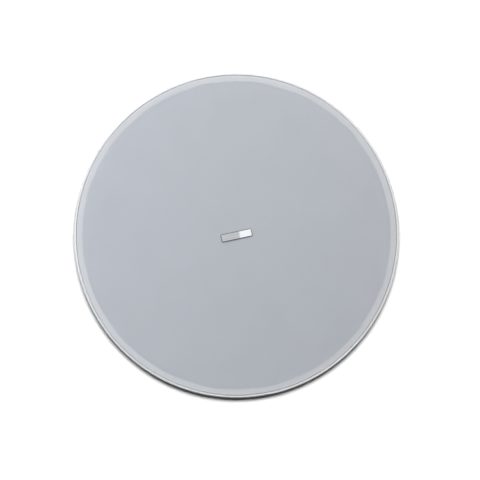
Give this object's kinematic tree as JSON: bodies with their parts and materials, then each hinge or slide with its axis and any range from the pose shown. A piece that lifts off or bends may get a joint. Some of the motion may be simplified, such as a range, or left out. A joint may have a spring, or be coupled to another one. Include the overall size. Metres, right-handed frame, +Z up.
{
  "type": "in-ceiling speaker",
  "caption": "Round in-ceiling loudspeaker with a flat perforated grille in a thin bezel, a woofer with a bridged tweeter behind it, swing-out clamps and push terminals.",
  "frame": {"origin": "on the speaker's axis, in the plane of the flange's back face, which is the plane of the ceiling's visible surface", "axes": "+Z up into the ceiling void along the speaker's axis, so the grille faces down towards -Z; +Y towards the terminals; +X along the tweeter bridge and the badge"},
  "size_m": [0.27, 0.27, 0.0949],
  "materials": {
    "frame_white": "fine matt moulding",
    "grille_paint": "satin powder coat",
    "scrim": "thin woven cloth",
    "badge": "silver and white, bare",
    "plated": "nickel plated",
    "zinc": "zinc plated",
    "black_steel": "satin black paint",
    "foam": "closed-cell foam",
    "surround_rubber": "satin rubber",
    "cone_poly": "woven look, matt",
    "former_alu": "bare foil",
    "copper": "enamelled copper wire",
    "spider_cloth": "resin-stiffened cloth",
    "ferrite": "grey-black sintered ferrite",
    "phenolic": "paper laminate",
    "tags": "tinned brass",
    "lead_red": "insulated wire",
    "lead_black": "insulated wire",
    "black_plastic": "fine matt moulding",
    "dome_silk": "coated silk",
    "board": "solder mask",
    "capacitor": "film wrap",
    "cement": "matt cement",
    "lever_red": "moulded",
    "lever_black": "moulded",
    "clamp_nylon": "glass-filled nylon"
  },
  "bodies": {
    "frame": {"frame": "frame_white", "grille_magnets": "plated", "woofer_basket": "black_steel", "woofer_gasket": "foam", "surround": "surround_rubber", "spider": "spider_cloth", "top_plate": "zinc", "ring_magnet": "ferrite", "pole_yoke": "zinc", "tag_strip": "phenolic", "solder_tags": "tags", "woofer_lead_red": "lead_red", "woofer_lead_black": "lead_black", "woofer_screws": "zinc", "tweeter_bridge": "black_plastic", "bridge_screws": "zinc", "tweeter_face_plate": "black_plastic", "tweeter_dome": "dome_silk", "tweeter_motor": "zinc", "crossover_board": "board", "board_screws": "zinc", "capacitor": "capacitor", "inductor_bobbin": "black_plastic", "inductor_winding": "copper", "resistor": "cement", "terminal_block": "black_plastic"},
    "grille": {"grille": "grille_paint", "grille_scrim": "scrim", "grille_badge": "badge"},
    "cone": {"cone": "cone_poly", "dust_cap": "cone_poly", "coil_former": "former_alu", "coil_winding": "copper"},
    "lever_red": {"terminal_lever_red": "lever_red"},
    "lever_black": {"terminal_lever_black": "lever_black"},
    "screw_1": {"clamp_screw_1": "zinc"},
    "clamp_1": {"clamp_1": "clamp_nylon"},
    "screw_2": {"clamp_screw_2": "zinc"},
    "clamp_2": {"clamp_2": "clamp_nylon"},
    "screw_3": {"clamp_screw_3": "zinc"},
    "clamp_3": {"clamp_3": "clamp_nylon"},
    "screw_4": {"clamp_screw_4": "zinc"},
    "clamp_4": {"clamp_4": "clamp_nylon"}
  },
  "joints": [
    {"name": "grille_pull_off", "type": "slide", "parent": "frame", "child": "grille", "axis": [0, 0, -1], "range_m": [0, 0.06]},
    {"name": "cone_stroke", "type": "slide", "parent": "frame", "child": "cone", "axis": [0, 0, -1], "range_m": [-0.005, 0.005], "stiffness_N_per_m": 2500, "deforming": ["surround", "spider"]},
    {"name": "terminal_red_press", "type": "hinge", "parent": "frame", "child": "lever_red", "pos_m": [-0.0065, 0.10349, 0.048], "axis": [-1, 0, 0], "range_deg": [0, 18], "stiffness_Nm_per_rad": 0.02},
    {"name": "terminal_black_press", "type": "hinge", "parent": "frame", "child": "lever_black", "pos_m": [0.0065, 0.10349, 0.048], "axis": [-1, 0, 0], "range_deg": [0, 18], "stiffness_Nm_per_rad": 0.02},
    {"name": "clamp_1_swing", "type": "hinge", "parent": "frame", "child": "screw_1", "pos_m": [0.08026, 0.08026, 0.0012], "axis": [0, 0, 1], "range_deg": [0, 96.8]},
    {"name": "clamp_1_travel", "type": "slide", "parent": "screw_1", "child": "clamp_1", "axis": [0, 0, -1], "range_m": [0, 0.032]},
    {"name": "clamp_2_swing", "type": "hinge", "parent": "frame", "child": "screw_2", "pos_m": [-0.08026, 0.08026, 0.0012], "axis": [0, 0, 1], "range_deg": [0, 96.8]},
    {"name": "clamp_2_travel", "type": "slide", "parent": "screw_2", "child": "clamp_2", "axis": [0, 0, -1], "range_m": [0, 0.032]},
    {"name": "clamp_3_swing", "type": "hinge", "parent": "frame", "child": "screw_3", "pos_m": [-0.08026, -0.08026, 0.0012], "axis": [0, 0, 1], "range_deg": [0, 96.8]},
    {"name": "clamp_3_travel", "type": "slide", "parent": "screw_3", "child": "clamp_3", "axis": [0, 0, -1], "range_m": [0, 0.032]},
    {"name": "clamp_4_swing", "type": "hinge", "parent": "frame", "child": "screw_4", "pos_m": [0.08026, -0.08026, 0.0012], "axis": [0, 0, 1], "range_deg": [0, 96.8]},
    {"name": "clamp_4_travel", "type": "slide", "parent": "screw_4", "child": "clamp_4", "axis": [0, 0, -1], "range_m": [0, 0.032]}
  ]
}
